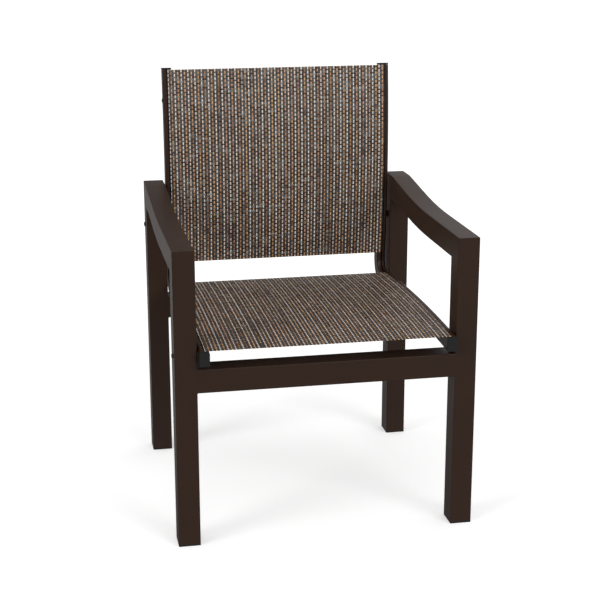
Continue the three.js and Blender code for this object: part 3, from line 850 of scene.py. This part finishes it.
        # Painted shade: in the folds the tone is set dark, for the shadow inside the slots
        tone[:, np.r_[0:len(fold) - 1, -len(fold) + 1:0]] = 0
        warmth = wandering(random, many, len(numbers), colour[1], *WEFT_WARMTH_SPREAD)[:, bar]
        bend = random.normal(0, WEFT_LOOSE, (many, len(numbers)))[:, bar]
        along = rows[:, None, None] + bend[..., None] - WEFT_HALF[0] * RING[:, 0]
        rings = self.place(where[..., None], along, height[:, None] + WEFT_HALF[1] * RING[:, 1])
        return self.strands(kind, rings, tone, warmth, YARNS["weft"])


def wandering(random, many, steps, mean, by_strand, by_stretch, by_step):
    """Tones along many strands: a strand's own, a slow change along it and one at each step."""
    knots = np.linspace(0, steps - 1, max(steps // SLOW_STEPS, 2))
    slow = random.normal(0, by_stretch, (many, len(knots)))
    slow = np.stack([np.interp(np.arange(steps), knots, line) for line in slow])
    return (mean + random.normal(0, by_strand, (many, 1)) + slow
            + random.normal(0, by_step, (many, steps)))


def dress(sling, cream, orange, dark, weft, seed):
    """Makes the cloth and its yarns from the mean tones: weft is its tone and its warmth."""
    coloured = sling.first_warp + np.arange(WARP_COUNT) * WARP_PITCH
    between = coloured + WARP_PITCH / 2
    cloth = sling.core()
    yarns = [
        sling.warps("cream_yarns", YARNS["cream"], COLOURED_HALF, COLOURED_SHAPE,
                    coloured[::2], 0, (cream, *CREAM_SPREAD), seed + 1),
        sling.warps("orange_yarns", YARNS["orange"], COLOURED_HALF, COLOURED_SHAPE,
                    coloured[1::2], ORANGE_SHIFT_SHARE, (orange, *ORANGE_SPREAD), seed + 2),
        sling.warps("dark_yarns", YARNS["dark"], DARK_HALF, DARK_SHAPE,
                    between, 0, (dark, *DARK_SPREAD), seed + 3),
        sling.wefts("weft_over_cream", 0, 0, weft, seed + 4),
        sling.wefts("weft_over_orange", 1, ORANGE_SHIFT_SHARE, weft, seed + 5)]


def slings():
    # Painted shade: the seat's tones are set darker than the back's, though both are one cloth, for
    # the shade its weave gets
    dress(Sling("seat", Arc(SEAT_CROWN, SEAT_RADIUS, back=False), SEAT_DASH_PITCH, SEAT_DASH_AT,
                shift=-0.1 * MM, skew=-0.9 * MM, edge=-252.0 * MM, painted_shade_drift=0),
          cream=0.83, orange=0.74, dark=0.26, weft=(0.19, 0.8), seed=10)
    # Painted shade: the back's tones grow lighter towards its top, for the shade that the seat and
    # arms throw on its low part
    dress(Sling("back", Arc(BACK_CROWN, BACK_RADIUS, back=True), BACK_DASH_PITCH, BACK_DASH_AT,
                shift=0, skew=0, edge=-250.5 * MM, painted_shade_drift=0.30),
          cream=0.90, orange=0.82, dark=0.38, weft=(0.27, 0.1), seed=20)


# Stage, light and camera

def stage():
    """A pale floor with a glow of its own, so that its shadows stay soft, and a wall far out."""
    sides = FLOOR_SIDES
    turn = [2 * math.pi * i / sides for i in range(sides)]
    mesh = bpy.data.meshes.new("floor")
    mesh.from_pydata(
        [(FLOOR_REACH * math.cos(a), FLOOR_REACH * math.sin(a), z)
         for z in (0, WALL_HEIGHT) for a in turn], [],
        [list(range(sides)),
         *[(i, i + sides, (i + 1) % sides + sides, (i + 1) % sides) for i in range(sides)]])
    paint = Paint("pale_floor", 0.9, 0.0)
    paint.shader.inputs["Base Color"].default_value = (FLOOR_GREY, FLOOR_GREY, FLOOR_GREY, 1)
    paint.shader.inputs["Emission Color"].default_value = (1, 1, 1, 1)
    paint.shader.inputs["Emission Strength"].default_value = FLOOR_GLOW
    mesh.materials.append(paint.material)
    floor = link_object("floor", mesh)
    floor.location.z = -FLOOR_BELOW
    floor.visible_diffuse = False
    floor.visible_glossy = False
    floor.visible_shadow = False


def light():
    """A soft studio: bright above and behind to the right, dark in front, three wide lamps."""
    world = bpy.data.worlds.new("studio")
    bpy.context.scene.world = world
    world.use_nodes = True
    tree = world.node_tree
    split = tree.nodes.new("ShaderNodeSeparateXYZ")
    tree.links.new(tree.nodes.new("ShaderNodeTexCoord").outputs["Generated"], split.inputs[0])
    x, y, z = (Field(tree, socket) for socket in split.outputs)
    # Each rise is a soft step along x, y or z of the direction, which go from -1 to 1
    behind = y.rise(-0.15, 0.15)
    to_right = x.rise(0.05, 0.45)
    rear = z.rise(0.0, 0.4).between(
        to_right.between(*REAR_LOW_LIGHT), to_right.between(*REAR_HIGH_LIGHT))
    front = x.rise(-0.3, 0.3).between(*FRONT_LIGHT)
    above = z.rise(0.5, 0.7).between(behind.between(front, rear), TOP_LIGHT)
    floor_behind = z.rise(-0.45, -0.3).between(
        FLOOR_REAR_LIGHT[0], x.rise(-0.3, 0.0).between(*FLOOR_REAR_LIGHT))
    below = behind.between(FLOOR_FRONT_LIGHT, floor_behind)
    sky = z.rise(-0.02, 0.02).between(below, above)
    tree.links.new(sky.socket, tree.nodes["Background"].inputs["Color"])
    for name, energy, angle, way in LAMPS:
        sun = bpy.data.lights.new(name, "SUN")
        sun.energy = energy
        sun.angle = math.radians(angle)
        lamp = bpy.data.objects.new(name, sun)
        lamp.rotation_euler = Vector(way).to_track_quat("Z", "Y").to_euler()
        bpy.context.scene.collection.objects.link(lamp)


def camera():
    data = bpy.data.cameras.new("camera")
    data.sensor_width = SENSOR
    data.lens = FOCAL_PIXELS * SENSOR / FRAME_PIXELS
    ahead = Vector((math.sin(CAMERA_TURN) * math.cos(CAMERA_DOWN),
                    math.cos(CAMERA_TURN) * math.cos(CAMERA_DOWN), -math.sin(CAMERA_DOWN)))
    level = Vector((math.cos(CAMERA_TURN), -math.sin(CAMERA_TURN), 0))
    upward = level.cross(ahead)
    right = level * math.cos(CAMERA_ROLL) + upward * math.sin(CAMERA_ROLL)
    up = upward * math.cos(CAMERA_ROLL) - level * math.sin(CAMERA_ROLL)
    eye = bpy.data.objects.new("camera", data)
    turned = Matrix((right, up, -ahead)).transposed().to_4x4()
    eye.matrix_world = Matrix.Translation(CAMERA_PLACE) @ turned
    bpy.context.scene.collection.objects.link(eye)
    bpy.context.scene.camera = eye
    bpy.context.scene.view_settings.view_transform = "Standard"


camera()
stage()
light()
hard_pieces()
slings()

bpy.context.view_layer.update()
